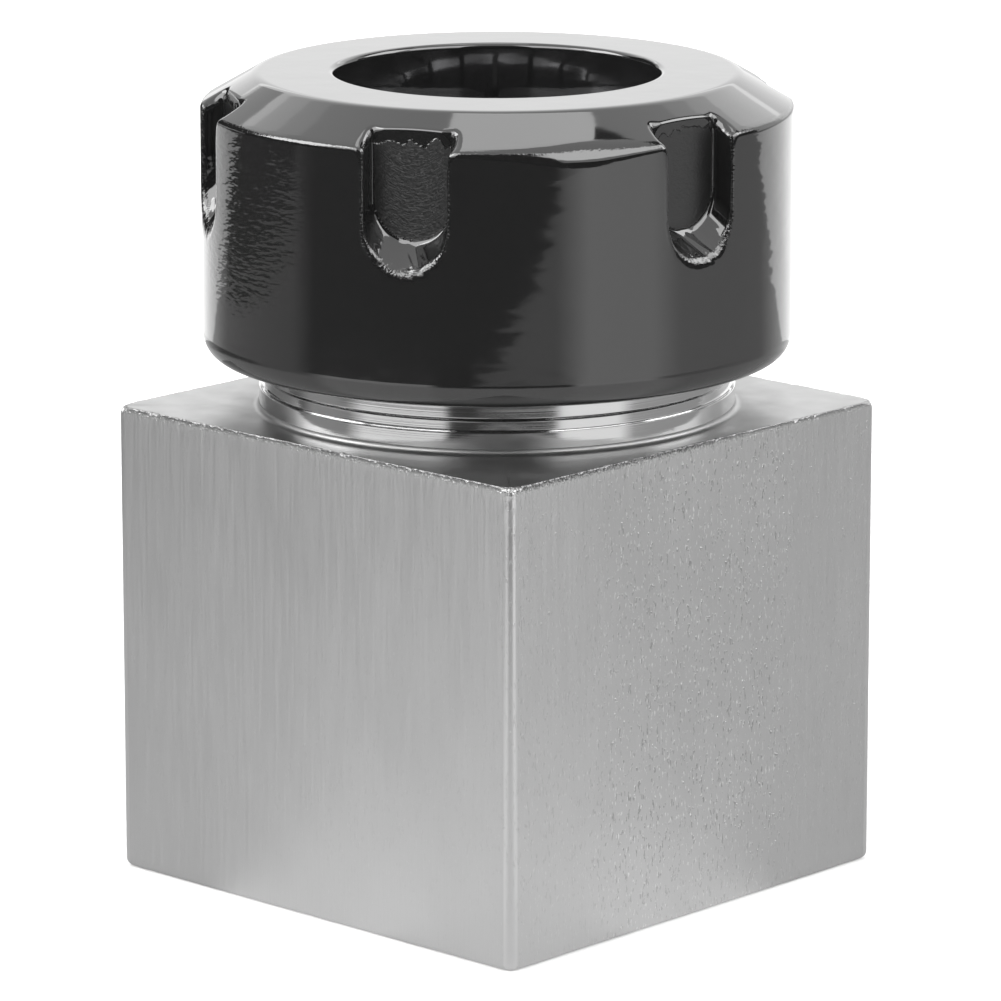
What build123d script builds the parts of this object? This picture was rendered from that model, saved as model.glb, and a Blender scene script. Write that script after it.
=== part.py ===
from build123d import *
from math import cos, radians, sin, tan
import os

# Square collet block for holding round stock: a steel block with a threaded nose, a slotted clamping nut
# and a slit spring collet. Millimetres, Z up, origin at the centre of the block's underside.

# Block
block_width = 45.0
block_height = 40.0
long_edge_chamfer = 0.7
rim_rounding = 0.35
rear_bore_diameter = 22.0
rear_bore_chamfer = 0.8

# Taper seat in the block and nose
seat_mouth_diameter = 32.0
seat_half_angle = 8.0
seat_run_out = 1.7
seat_mouth_chamfer = 0.4

# Nose and neck, heights measured from the top of the block
nose_length = 12.9
thread_diameter = 40.0
thread_pitch = 1.5
nose_end_chamfer = 0.8
neck_flare = 1.0
neck_undersize = 0.05
neck_groove_height = 1.9
neck_groove_width = 0.8
neck_groove_depth = 0.35
neck_bevel = 0.35
shoulder_height = 4.3
thread_relief_width = 1.2
thread_relief_depth = 0.05

# Spring collet
collet_length = 40.0
collet_bore_diameter = 16.0
collet_bore_chamfer = 0.5
collet_standout = 3.5
collet_shoulder_length = 7.2
front_cone_angle = 30.0
front_cone_length = 3.6
collar_land = 0.3
collar_step = 0.9
collet_groove_width = 2.6
collet_groove_depth = 1.4
shoulder_bevel = 0.4
collet_tail_chamfer = 0.6
slit_pairs = 8
slit_width = 1.0
slit_front_bridge = 9.5
slit_rear_bridge = 5.0

# Clamping nut
nut_wall = 4.65
nut_height = 23.35
nut_front_bevel_width = 4.6
nut_front_bevel_angle = 30.0
nut_front_rounding = 1.5
nut_foot_rounding = 1.5
mouth_depth = 4.65
mouth_rounding = 0.5
extractor_thickness = 1.6
extractor_offset = 0.8
nut_counterbore_depth = 2.2
nut_counterbore_play = 0.35
nut_thread_spare = 3.5
relief_play = 0.7

# Spanner slots in the nut
spanner_slots = 6
spanner_slot_width = 7.0
spanner_slot_depth = 2.45
spanner_slot_floor = 10.5
spanner_slot_ramp = 42.0
spanner_slot_turn = -4.6

# Clearances
thread_play = 0.05
seat_play = 0.06
cone_play = 0.08
collar_play = 0.4

# Chords that a turned rounding is drawn with
rounding_chords = 2

# Thread radii of a 60 degree metric thread
thread_outer_radius = thread_diameter / 2
thread_pitch_radius = thread_outer_radius - 0.32476 * thread_pitch
thread_root_radius = thread_outer_radius - 0.61343 * thread_pitch

# Heights and radii that follow from the fits
seat_slope = tan(radians(seat_half_angle))
cone_slope = tan(radians(front_cone_angle))
nose_top = block_height + nose_length
seat_mouth_radius = seat_mouth_diameter / 2

collet_widest_z = nose_top + collet_standout
collet_widest_radius = seat_mouth_radius + collet_standout * seat_slope - seat_play
collet_face_z = collet_widest_z + collet_shoulder_length
collet_tail_z = collet_face_z - collet_length
collar_radius = collet_widest_radius - collar_step
collet_groove_radius = collar_radius - collet_groove_depth
collet_face_radius = collar_radius - front_cone_length * cone_slope
collar_z = collet_face_z - front_cone_length
collet_groove_top = collar_z - collar_land
collet_groove_bottom = collet_groove_top - collet_groove_width

nut_face_z = collet_face_z + mouth_depth
nut_foot_z = nut_face_z - nut_height
nut_radius = thread_outer_radius + nut_wall
mouth_radius = collet_face_radius + cone_play


def rounded_corner(before, corner, after, radius):
    """Points of a corner rounded to a radius, as chords between its two tangent points."""
    arriving = (Vector(corner) - Vector(before)).normalized()
    leaving = (Vector(after) - Vector(corner)).normalized()
    half_turn = radians(arriving.get_angle(leaving)) / 2
    centre = Vector(corner) + (leaving - arriving).normalized() * (radius / cos(half_turn))
    start = Vector(corner) - arriving * (radius * tan(half_turn)) - centre
    finish = Vector(corner) + leaving * (radius * tan(half_turn)) - centre
    points = []
    for step in range(rounding_chords + 1):
        along = step / rounding_chords * 2 * half_turn
        share_start = sin(2 * half_turn - along) / sin(2 * half_turn)
        share_finish = sin(along) / sin(2 * half_turn)
        points.append(centre + start * share_start + finish * share_finish)
    return points


def turned(outline):
    """Solid of revolution about Z. Each corner of the outline is (radius, height, rounding)."""
    points = []
    for place, (radius, height, rounding) in enumerate(outline):
        before = outline[place - 1][:2]
        after = outline[(place + 1) % len(outline)][:2]
        if rounding:
            points += rounded_corner(before, (radius, height), after, rounding)
        else:
            points.append(Vector(radius, height))
    return revolve(Plane.XZ * make_face(Polyline(*points, close=True)), Axis.Z)


def taper_seat():
    """Everything that is bored out of the block: rear bore, its countersink and the 8 degree seat."""
    seat_bottom = collet_tail_z - seat_run_out
    seat_bottom_radius = seat_mouth_radius - (nose_top - seat_bottom) * seat_slope
    mouth_edge_z = nose_top - seat_mouth_chamfer
    mouth_edge_radius = seat_mouth_radius - seat_mouth_chamfer * seat_slope
    rear_radius = rear_bore_diameter / 2
    above = nose_top + seat_mouth_chamfer
    below = -rear_bore_chamfer
    return turned([
        (0, below, 0),
        (rear_radius + 2 * rear_bore_chamfer, below, 0),
        (rear_radius, rear_bore_chamfer, 0),
        (rear_radius, seat_bottom, 0),
        (seat_bottom_radius, seat_bottom, 0),
        (mouth_edge_radius, mouth_edge_z, 0),
        (mouth_edge_radius + 2 * seat_mouth_chamfer, above, 0),
        (0, above, 0),
    ])


def nose():
    """Turned neck and thread cylinder above the block; the thread itself is drawn at its pitch diameter."""
    neck_radius = thread_outer_radius - neck_undersize
    flare_radius = neck_radius + neck_flare + rim_rounding
    groove_radius = neck_radius - neck_groove_depth
    groove_bottom = block_height + neck_groove_height
    groove_top = groove_bottom + neck_groove_width
    shoulder_top = block_height + shoulder_height
    relief_radius = thread_root_radius - thread_relief_depth
    relief_top = shoulder_top + thread_relief_width
    return turned([
        (0, block_height - rim_rounding, 0),
        (flare_radius, block_height - rim_rounding, 0),
        (flare_radius, block_height, 0),
        (neck_radius, block_height, neck_flare),
        (neck_radius, groove_bottom, 0),
        (groove_radius, groove_bottom, 0),
        (groove_radius, groove_top, 0),
        (neck_radius, groove_top + neck_bevel, 0),
        (neck_radius, shoulder_top, 0),
        (relief_radius, shoulder_top, 0),
        (relief_radius, relief_top, 0),
        (thread_pitch_radius, relief_top + thread_pitch_radius - relief_radius, 0),
        (thread_pitch_radius, nose_top - nose_end_chamfer, 0),
        (thread_pitch_radius - nose_end_chamfer, nose_top, 0),
        (0, nose_top, 0),
    ])


def collet_block():
    """Square block with rounded rims, the turned nose on top and the taper seat bored right through."""
    plan = Rectangle(block_width, block_width)
    plan = chamfer(plan.vertices(), long_edge_chamfer)
    block = extrude(plan, block_height)
    levels = block.edges().group_by(Axis.Z)
    block = fillet(levels[0] + levels[-1], rim_rounding)
    return block + nose() - taper_seat()


def slit_blades(first_angle, low, high):
    """Saw cuts through the collet wall, evenly spaced, from height low to height high."""
    reach = collet_widest_radius + slit_width
    height = high - low
    blades = []
    for number in range(slit_pairs):
        blade = Box(reach, slit_width, height, align=(Align.MIN, Align.CENTER, Align.MIN))
        angle = first_angle + number * 360 / slit_pairs
        blades.append(Rot(0, 0, angle) * Pos(0, 0, low) * blade)
    return blades


def spring_collet():
    """Double-taper collet: front cone, extraction groove, 8 degree body, slit from both ends in turn."""
    tail_radius = collet_widest_radius - (collet_widest_z - collet_tail_z) * seat_slope
    bore_radius = collet_bore_diameter / 2
    body = turned([
        (bore_radius, collet_tail_z + collet_bore_chamfer, 0),
        (bore_radius + collet_bore_chamfer, collet_tail_z, 0),
        (tail_radius - collet_tail_chamfer, collet_tail_z, 0),
        (tail_radius + collet_tail_chamfer * seat_slope, collet_tail_z + collet_tail_chamfer, 0),
        (collet_widest_radius, collet_widest_z, 0),
        (collet_widest_radius - shoulder_bevel, collet_groove_bottom, 0),
        (collet_groove_radius, collet_groove_bottom, 0),
        (collet_groove_radius, collet_groove_top, 0),
        (collar_radius, collet_groove_top, 0),
        (collar_radius, collar_z, 0),
        (collet_face_radius, collet_face_z, 0),
        (bore_radius + collet_bore_chamfer, collet_face_z, 0),
        (bore_radius, collet_face_z - collet_bore_chamfer, 0),
    ])
    past_face = collet_face_z + slit_width
    past_tail = collet_tail_z - slit_width
    front_slits = slit_blades(0, collet_tail_z + slit_rear_bridge, past_face)
    rear_slits = slit_blades(180 / slit_pairs, past_tail, collet_face_z - slit_front_bridge)
    return body - front_slits - rear_slits


def spanner_slot():
    """Cutter for one slot: a U with a flat back wall, its round end running out and down as a ramp."""
    half_width = spanner_slot_width / 2
    back_wall = nut_radius - spanner_slot_depth
    past_rim = nut_radius + spanner_slot_depth
    arc_z = nut_face_z - spanner_slot_floor + half_width
    ramp_end_z = arc_z - (past_rim - back_wall) * tan(radians(spanner_slot_ramp))
    top_z = nut_face_z + spanner_slot_depth
    side = Plane.XZ * make_face(Polyline(
        (back_wall, arc_z), (past_rim, ramp_end_z), (past_rim, top_z), (back_wall, top_z), close=True))
    straight = extrude(side, half_width, both=True)
    ends = []
    for radius, centre_z in ((back_wall, arc_z), (past_rim, ramp_end_z)):
        ends.append(Plane(origin=(radius, 0, centre_z), x_dir=(0, 1, 0), z_dir=(1, 0, 0)) * Circle(half_width))
    return straight + loft(ends)


def nut_inside():
    """Bored shape of the nut from the foot up: counterbore, thread, relief, collar chamber, cone, mouth."""
    counterbore_top = nut_foot_z + nut_counterbore_depth
    counterbore_radius = thread_outer_radius + nut_counterbore_play
    thread_radius = thread_pitch_radius + thread_play
    thread_top = nose_top + nut_thread_spare
    relief_radius = collet_widest_radius + relief_play
    extractor_top = collet_groove_top - collar_play
    extractor_bottom = extractor_top - extractor_thickness
    chamber_radius = collar_radius + collar_play
    cone_top = collet_face_z
    cone_bottom = cone_top - (chamber_radius - mouth_radius) / cone_slope
    below = nut_foot_z - nut_counterbore_depth
    above = nut_face_z + mouth_rounding
    return turned([
        (0, below, 0),
        (counterbore_radius, below, 0),
        (counterbore_radius, counterbore_top, 0),
        (thread_radius, counterbore_top + counterbore_radius - thread_radius, 0),
        (thread_radius, thread_top, 0),
        (relief_radius, thread_top, 0),
        (relief_radius, extractor_bottom, 0),
        (collet_groove_radius, extractor_bottom, 0),
        (collet_groove_radius, extractor_top, 0),
        (chamber_radius, extractor_top, 0),
        (chamber_radius, cone_bottom, 0),
        (mouth_radius, cone_top, 0),
        (mouth_radius, nut_face_z, mouth_rounding),
        (mouth_radius + 2 * mouth_rounding, nut_face_z, 0),
        (mouth_radius + 2 * mouth_rounding, above, 0),
        (0, above, 0),
    ])


def extractor_bore():
    """Bore of the extraction ring, off centre, so that one side of the ring hooks under the collet's collar."""
    extractor_bottom = collet_groove_top - collar_play - extractor_thickness
    bore = Cylinder(collar_radius + collar_play, extractor_thickness, align=(Align.CENTER, Align.CENTER, Align.MIN))
    return Pos(extractor_offset, 0, extractor_bottom) * bore


def clamping_nut():
    """Slotted clamping nut with a bevelled front."""
    bevel_z = nut_face_z - nut_front_bevel_width * tan(radians(nut_front_bevel_angle))
    blank = turned([
        (0, nut_foot_z, 0),
        (nut_radius, nut_foot_z, nut_foot_rounding),
        (nut_radius, bevel_z, 0),
        (nut_radius - nut_front_bevel_width, nut_face_z, nut_front_rounding),
        (0, nut_face_z, 0),
    ])
    slot = spanner_slot()
    slot_step = 360 / spanner_slots
    slots = [Rot(0, 0, spanner_slot_turn + number * slot_step) * slot for number in range(spanner_slots)]
    return blank - slots - nut_inside() - extractor_bore()


os.makedirs("parts", exist_ok=True)
pieces = {
    "collet_block": collet_block(),
    "spring_collet": spring_collet(),
    "clamping_nut": clamping_nut(),
}
for name, piece in pieces.items():
    export_step(piece, f"parts/{name}.step")
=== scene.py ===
import bpy
import numpy as np
from mathutils import Matrix, Vector


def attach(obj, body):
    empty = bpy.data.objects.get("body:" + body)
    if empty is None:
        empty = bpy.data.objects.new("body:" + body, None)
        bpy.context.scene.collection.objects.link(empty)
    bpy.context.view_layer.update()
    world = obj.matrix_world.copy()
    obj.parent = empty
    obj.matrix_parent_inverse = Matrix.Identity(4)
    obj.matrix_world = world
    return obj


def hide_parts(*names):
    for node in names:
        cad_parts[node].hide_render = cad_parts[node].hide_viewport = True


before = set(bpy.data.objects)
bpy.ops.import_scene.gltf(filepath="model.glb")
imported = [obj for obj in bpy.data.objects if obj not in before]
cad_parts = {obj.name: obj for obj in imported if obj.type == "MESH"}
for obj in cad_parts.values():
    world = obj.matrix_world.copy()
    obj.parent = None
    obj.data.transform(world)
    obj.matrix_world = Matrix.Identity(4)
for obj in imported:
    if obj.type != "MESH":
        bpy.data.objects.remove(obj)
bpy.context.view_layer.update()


# ------------------------------------------------------------------------------
# The block: square steel body, turned neck and nose, one piece. Its four sides are ground with a fine
# upright grain, its top and neck are turned, and its taper seat is bored right through. Sizes in millimetres.
# ------------------------------------------------------------------------------
block_half = 22.5
block_top = 40.0
corner_chamfer = 0.38
corner_softness = 0.6
top_rim_softness = 0.05
top_rim_nick = 0.26
foot_rim_softness = 0.3
foot_rim_nick = 0.12
flare_radius = 20.95
neck_radius = 19.95
neck_fillet = 1.0
neck_groove_radius = 19.6
relief_radius = 19.03
thread_root = 19.08
nose_top = 52.9
nose_end_radius = 18.71
seat_bottom = 21.9
bore_radius = 11.0
bore_foot_radius = 11.8
neck_step = 4


def linear(hex_colour):
    """sRGB hex colour to the linear RGBA that shaders take."""
    srgb = np.array([int(hex_colour[i:i + 2], 16) for i in (0, 2, 4)]) / 255
    rgb = np.where(srgb <= 0.04045, srgb / 12.92, ((srgb + 0.055) / 1.055) ** 2.4)
    return (*rgb.tolist(), 1.0)


def node(tree, kind, inputs=(), **options):
    """Adds one node with its options, and sets each input to a value or links it to another node's output."""
    made = tree.nodes.new(kind)
    for name, value in options.items():
        setattr(made, name, value)
    for socket, value in dict(inputs).items():
        if isinstance(value, bpy.types.NodeSocket):
            tree.links.new(value, made.inputs[socket])
        else:
            made.inputs[socket].default_value = value
    return made


def new_material(name):
    """Empty node material and its tree."""
    material = bpy.data.materials.new(name)
    material.use_nodes = True
    material.node_tree.nodes.clear()
    return material, material.node_tree


def turned_path(corners, steps=4, guard=0.1):
    """Profile of a turned piece. Each corner is (radius, height, rounding): the corner is replaced by an arc that
    touches both of its sides, and a point a little way past each end of the arc keeps the flats flat. The arc and
    these points take no more than their share of the shorter side, and a corner that hardly turns stays a point."""
    hardly, arc_share, guard_share = 0.02, 0.42, 0.4
    corners = np.asarray(corners, float)
    path = [corners[0, :2]]
    for before, (x, z, rounding), after in zip(corners, corners[1:], corners[2:]):
        corner = np.array([x, z])
        back, ahead = before[:2] - corner, after[:2] - corner
        reach = min(np.linalg.norm(back), np.linalg.norm(ahead))
        back = back / np.linalg.norm(back)
        ahead = ahead / np.linalg.norm(ahead)
        turn = np.arccos(np.clip(-back @ ahead, -1, 1))
        if turn < hardly:
            path.append(corner)
            continue
        rounding = min(rounding, arc_share * reach / np.tan(turn / 2))
        tangent = rounding * np.tan(turn / 2)
        inward = (back + ahead) / np.linalg.norm(back + ahead)
        centre = corner + inward * rounding / np.cos(turn / 2)
        start = corner + back * tangent - centre
        finish = corner + ahead * tangent - centre
        share = np.linspace(0, 1, steps + 1)[:, None]
        arc = centre + (np.sin((1 - share) * turn) * start + np.sin(share * turn) * finish) / np.sin(turn)
        room = min(guard, guard_share * (reach - tangent))
        path += [corner + back * (tangent + room), *arc, corner + ahead * (tangent + room)]
    return np.array([*path, corners[-1, :2]])


def revolve_rows(path, around):
    """Points of a turned surface: every profile point carried round the axis to every angle."""
    radius = path[:, 0][:, None]
    return np.stack([radius * np.cos(around), radius * np.sin(around),
                     np.repeat(path[:, 1][:, None], len(around), 1)], -1)


def ring_quads(rows, columns):
    """Quads of a grid that closes on itself both along the profile and round the axis."""
    row, column = np.meshgrid(np.arange(rows), np.arange(columns), indexing="ij")
    right = (column + 1) % columns
    above = (row + 1) % rows
    return np.stack([row * columns + column, row * columns + right, above * columns + right,
                     above * columns + column], -1).reshape(-1, 4)


def joined_faces(outside, inside, step):
    """Quads of the outside and of the inside of a bored piece, and many-sided faces where a few columns of the one
    meet one column of the other, at the inside's first row and at its last."""
    rows, columns = outside.shape[:2]
    inner_rows, inner_columns = inside.shape[:2]
    first = rows * columns
    outer = ring_quads(rows, columns)[:(rows - 1) * columns]
    inner = ring_quads(inner_rows, inner_columns)[:(inner_rows - 1) * inner_columns] + first
    column = np.arange(inner_columns)
    wide = np.stack([(column * step + i) % columns for i in range(step + 1)], 1)
    narrow = np.stack([column, (column + 1) % inner_columns], 1)
    top = np.concatenate([wide + (rows - 1) * columns, narrow[:, ::-1] + first], 1)
    foot = np.concatenate([narrow + first + (inner_rows - 1) * inner_columns, wide[:, ::-1]], 1)
    return outer.tolist() + inner.tolist() + top.tolist() + foot.tolist()


def new_object(name, data):
    """Object of the scene that carries the data."""
    made = bpy.data.objects.new(name, data)
    bpy.context.scene.collection.objects.link(made)
    return made


def piece_from_faces(name, points, faces, materials, body, sharp=35.0):
    """Mesh object from points in millimetres and faces, smooth but for edges sharper than the given angle."""
    mesh = bpy.data.meshes.new(name)
    mesh.from_pydata((points.reshape(-1, 3) * 0.001).tolist(), [], faces)
    mesh.polygons.foreach_set("use_smooth", np.ones(len(mesh.polygons), bool))
    mesh.set_sharp_from_angle(angle=np.radians(sharp))
    for material in materials:
        mesh.materials.append(material)
    piece = new_object(name, mesh)
    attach(piece, body)
    return piece


def block_plan(spacing=0.16):
    """Plan of the square body and its outward normals: for each quarter half a side, a small arc into the corner
    chamfer, the chamfer, a small arc out of it and half of the next side."""
    tangent = corner_softness * np.tan(np.pi / 8)
    side_end = block_half - corner_chamfer - tangent
    along = np.linspace(0, side_end, int(side_end / spacing), endpoint=False)
    turn = np.radians(np.linspace(0, 45, 9))
    first = np.array([block_half - corner_softness, side_end])
    second = first[::-1]
    into = first + corner_softness * np.stack([np.cos(turn), np.sin(turn)], 1)
    out = second + corner_softness * np.stack([np.sin(turn[::-1]), np.cos(turn[::-1])], 1)
    flat = into[-1] + (out[0] - into[-1]) * np.array([[0.2], [0.5], [0.8]])
    side_a = np.stack([np.full_like(along, block_half), along], 1)
    side_b = np.stack([along[:0:-1], np.full_like(along[1:], block_half)], 1)
    quarter = np.concatenate([side_a, into, flat, out, side_b])
    ones = np.ones(len(along))
    heading = np.concatenate([ones * 0, turn, np.full(3, np.pi / 4), turn + np.pi / 4, ones[1:] * np.pi / 2])
    plan, normal = [], []
    for number in range(4):
        spin = number * np.pi / 2
        matrix = np.array([[np.cos(spin), -np.sin(spin)], [np.sin(spin), np.cos(spin)]])
        plan.append(quarter @ matrix.T)
        normal.append(np.stack([np.cos(heading + spin), np.sin(heading + spin)], 1))
    return np.concatenate(plan), np.concatenate(normal)


def ragged(count, width, seed):
    """Closed row of random heights from 0 to 1, blurred over the given number of columns."""
    heights = np.random.default_rng(seed).random(count)
    waves = np.fft.rfft(heights - heights.mean())
    waves *= np.exp(-(np.arange(len(waves)) * width * 3 / count) ** 2)
    blurred = np.fft.irfft(waves, count)
    return (blurred - blurred.min()) / np.ptp(blurred)


def block_rows():
    """Rows of the block out along the underside, up the sides and in over the top; then, with every fourth column,
    up the neck and nose and down the bore. Rim rows lie on a quarter circle whose radius wanders, so that the rims
    have nicks, and grows towards the corners. Also gives the number of rows below the top rim."""
    plan, normal = block_plan()
    count = len(plan)
    around = np.arctan2(plan[:, 1], plan[:, 0])
    ring = np.stack([np.cos(around), np.sin(around)], 1)
    corner_distance = np.abs(np.abs(plan[:, 0]) - np.abs(plan[:, 1]))
    nicks = ragged(count, 1.2, 5) ** 4 * 1.2 + ragged(count, 8.0, 8) ** 2 * 0.4
    top_rim = top_rim_softness + top_rim_nick * nicks + 0.5 * np.exp(-(corner_distance / 1.1) ** 2)
    foot_rim = foot_rim_softness + foot_rim_nick * ragged(count, 8.0, 3) + 0.25 * np.exp(-corner_distance ** 2)

    def level(xy, z):
        """Row of points from their places in plan and one height, or a height each."""
        return np.concatenate([xy, np.broadcast_to(z, (count,))[:, None]], 1)

    rows = []
    edge = plan - foot_rim[:, None] * normal
    for share in (0.0, 0.12, 0.5, 0.94):
        rows.append(level((1 - share) * bore_foot_radius * ring + share * edge, 0.0))
    for turn in np.radians(np.linspace(0, 90, 6)):
        rows.append(level(plan - (foot_rim * (1 - np.sin(turn)))[:, None] * normal, foot_rim * (1 - np.cos(turn))))
    for z in (1.0, 3.0, 20.0, 37.0, 38.8):
        rows.append(level(plan, z))
    side_rows = len(rows)
    for turn in np.radians(np.linspace(0, 90, 7)):
        rows.append(level(plan - (top_rim * (1 - np.cos(turn)))[:, None] * normal,
                          block_top - top_rim * (1 - np.sin(turn))))
    edge = plan - top_rim[:, None] * normal
    for share in (0.06, 0.35, 0.7, 0.95):
        rows.append(level((1 - share) * edge + share * (flare_radius + 0.4) * ring, block_top))
    neck = turned_path([
        (flare_radius + 0.2, block_top, 0), (neck_radius, block_top, neck_fillet), (neck_radius, 41.9, 0.06),
        (neck_groove_radius, 41.93, 0.05), (neck_groove_radius, 42.7, 0.05), (neck_radius, 43.05, 0.07),
        (neck_radius, 44.3, 0.08), (relief_radius, 44.32, 0.06), (relief_radius, 45.5, 0.1), (thread_root, 45.6, 0.1),
        (thread_root, 52.53, 0.08), (nose_end_radius, nose_top, 0.06), (16.34, nose_top, 0.06), (15.94, 52.5, 0.06),
        (11.64, seat_bottom, 0.05), (bore_radius, seat_bottom, 0.05), (bore_radius, 0.8, 0.08),
        (bore_foot_radius, 0.02, 0)], steps=5)
    return np.array(rows), revolve_rows(neck, around[::neck_step]), side_rows


def ground_steel():
    """Plain steel, surface ground: satin grey that brightens towards the light, with a very fine upright grain,
    faint smears, and short upright tears where the wheel has dragged the surface."""
    material, tree = new_material("surface_ground_steel")
    place = node(tree, "ShaderNodeTexCoord").outputs["Object"]
    mm = node(tree, "ShaderNodeVectorMath", {0: place, "Scale": 1000.0}, operation="SCALE").outputs[0]
    x, y, z = node(tree, "ShaderNodeSeparateXYZ", {0: mm}).outputs
    far_x, far_y = (node(tree, "ShaderNodeMath", {0: axis}, operation="ABSOLUTE").outputs[0] for axis in (x, y))
    corner = node(tree, "ShaderNodeMath", {0: far_x, 1: far_y}, operation="ADD").outputs[0]
    beside = node(tree, "ShaderNodeVectorMath", {0: mm, 1: (0.09, 0.09, 0.0)}, operation="ADD").outputs[0]

    # Cells of each pattern in mm: grinding grain, the finest that still shows at this size; smears; tears, twice, the
    # second time a little to one side; and drag marks, where the wheel has pulled metal down from the top edge. The
    # grit of a burr along that edge has cells of 0.18 mm.
    tear_cell = (0.2, 0.2, 0.6)
    patterns = []
    for at, cell in ((mm, (0.12, 0.12, 6.0)), (mm, (9.0, 9.0, 14.0)), (mm, tear_cell), (beside, tear_cell),
                     (mm, (0.35, 0.35, 1.6))):
        at = node(tree, "ShaderNodeVectorMath", {0: at, 1: cell}, operation="DIVIDE").outputs[0]
        patterns.append(node(tree, "ShaderNodeTexNoise", {"Vector": at, "Scale": 1.0, "Detail": 2.0}).outputs["Fac"])
    grain, smears, tears, tears_beside, drag = patterns
    burr = node(tree, "ShaderNodeTexNoise", {"Vector": mm, "Scale": 5.5, "Detail": 2.0}).outputs["Fac"]

    # Each share runs between two values as its input runs between two others. Places are in mm.
    share = {}
    for name, value, start, end, first, last, curve in (
            ("torn side", x, 21.0, 22.4, 0.35, 1.0, "LINEAR"),
            ("torn patch", smears, 0.4, 0.6, 0.8, 1.1, "LINEAR"),
            ("torn band", far_y, 8.0, 14.0, 1.0, 0.3, "SMOOTHSTEP"),
            ("above foot", z, 2.0, 10.0, 0.5, 1.0, "LINEAR"),
            ("tear", tears, 0.615, 0.675, 0.0, 1.0, "SMOOTHSTEP"),
            ("tear beside", tears_beside, 0.615, 0.675, 0.0, 1.0, "SMOOTHSTEP"),
            ("smear", smears, 0.3, 0.7, 0.0, 1.0, "LINEAR"),
            ("smooth corner and painted highlight", corner, 44.1, 44.3, 0.0, 1.0, "LINEAR"),
            # Painted shade along the top rim, which darkens the lamps' highlight there.
            ("rim painted shade", z, 39.55, 39.85, 0.0, 0.8, "LINEAR"),
            ("dirt", burr, 0.46, 0.6, 0.0, 0.75, "LINEAR"),
            ("top edge", z, 39.35, 39.75, 0.0, 1.0, "LINEAR"),
            ("near corner", y, -1.0, 6.0, 1.0, 0.15, "LINEAR"),
            ("roughness", grain, 0.3, 0.7, 0.40, 0.50, "LINEAR"),
            ("dragged", z, 36.5, 39.6, 0.0, 1.0, "LINEAR"),
            ("burred", z, 38.9, 39.7, 0.0, 1.0, "SMOOTHSTEP")):
        share[name] = node(tree, "ShaderNodeMapRange", {0: value, 1: start, 2: end, 3: first, 4: last},
                           interpolation_type=curve).outputs[0]

    # Tears fill a band up the middle of the one face that the wheel has torn. Each is painted lighter on one side and
    # darker on the other, a painted highlight and painted shade that make it look raised; a bump raises it too.
    torn = share["torn side"]
    for name in ("torn patch", "torn band", "above foot"):
        torn = node(tree, "ShaderNodeMath", {0: torn, 1: share[name]}, operation="MULTIPLY").outputs[0]
    tears, tears_beside = (node(tree, "ShaderNodeMath", {0: share[name], 1: torn}, operation="MULTIPLY").outputs[0]
                           for name in ("tear", "tear beside"))
    across = node(tree, "ShaderNodeMath", {0: tears_beside, 1: tears}, operation="SUBTRACT").outputs[0]
    # Painted highlight on one side of each tear, and below it painted shade on the other.
    bright = node(tree, "ShaderNodeMapRange", {0: across}).outputs[0]
    painted_tear_shade = node(tree, "ShaderNodeMapRange", {0: across, 1: 0.0, 2: -1.0, 3: 0.0, 4: 0.42}).outputs[0]
    # The burr along the top edge holds dirt, most of all near one corner.
    dirty = share["top edge"]
    for name in ("torn side", "near corner"):
        dirty = node(tree, "ShaderNodeMath", {0: dirty, 1: share[name]}, operation="MULTIPLY").outputs[0]
    dirt = node(tree, "ShaderNodeMath", {0: share["dirt"], 1: dirty}, operation="MULTIPLY", use_clamp=True).outputs[0]
    # The corners are finished by hand across the grain, so they are smoother; their lighter grey is a painted
    # highlight, which keeps them bright from every side.
    steel = node(tree, "ShaderNodeMix", {0: share["smear"], 6: linear("d9d9d9"), 7: linear("dfdfdf")},
                 data_type="RGBA").outputs[2]
    for amount, tint in ((bright, "ffffff"), (painted_tear_shade, "7c7c7c"), (share["smooth corner and painted highlight"], "eaeaea"),
                         (share["rim painted shade"], "868686"), (dirt, "3c3c3c")):
        steel = node(tree, "ShaderNodeMix", {0: amount, 6: steel, 7: linear(tint)}, data_type="RGBA").outputs[2]
    rough = node(tree, "ShaderNodeMix", {0: share["smooth corner and painted highlight"], 2: share["roughness"], 3: 0.3}).outputs[0]

    # One relief on another, each with its depth in metres.
    normal = {}
    for height, factors, depth in ((grain, [], 0.000008), (drag, [share["dragged"]], 0.00009),
                                   (burr, [share["burred"]], 0.00009), (tears, [], 0.00006)):
        for factor in factors:
            height = node(tree, "ShaderNodeMath", {0: height, 1: factor}, operation="MULTIPLY").outputs[0]
        bump = node(tree, "ShaderNodeBump", {"Height": height, "Distance": depth, **normal})
        normal = {"Normal": bump.outputs[0]}
    shader = node(tree, "ShaderNodeBsdfPrincipled", {
        "Base Color": steel, "Metallic": 1.0, "Roughness": rough, **normal})
    node(tree, "ShaderNodeOutputMaterial", {"Surface": shader.outputs[0]})
    return material


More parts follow.
